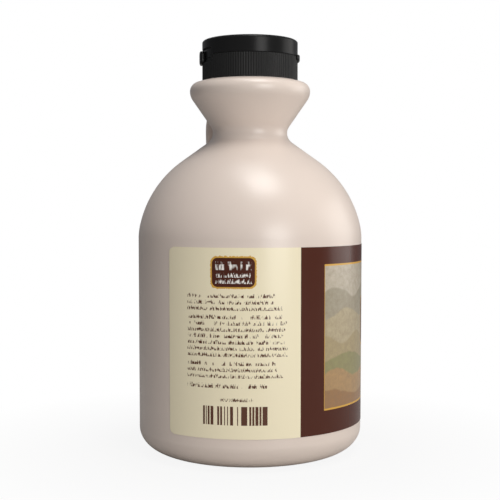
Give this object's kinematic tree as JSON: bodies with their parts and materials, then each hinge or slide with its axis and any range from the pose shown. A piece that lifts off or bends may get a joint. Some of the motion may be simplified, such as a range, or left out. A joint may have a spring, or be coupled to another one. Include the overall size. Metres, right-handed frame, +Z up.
{
  "type": "maple syrup jug",
  "caption": "Squat round opaque plastic jug with a domed shoulder, flared collar, finger loop, wrapped film label and a shut flip-top closure.",
  "frame": {"origin": "centre of the foot, on the surface the jug stands on", "axes": "+Z up along the jug's axis, the label's front faces -Y, the finger loop stands on +X"},
  "size_m": [0.1012, 0.101, 0.185],
  "materials": {
    "jug_plastic": "opaque beige, soft gloss",
    "label_film": "printed film, satin",
    "closure_ribbed": "black, finely ribbed, satin",
    "closure_gloss": "black, glossy"
  },
  "bodies": {
    "root": {"jug": "jug_plastic", "label": "label_film", "cap_base": "closure_ribbed", "cap_lid": "closure_gloss", "cap_hinge": "closure_gloss"}
  },
  "joints": []
}
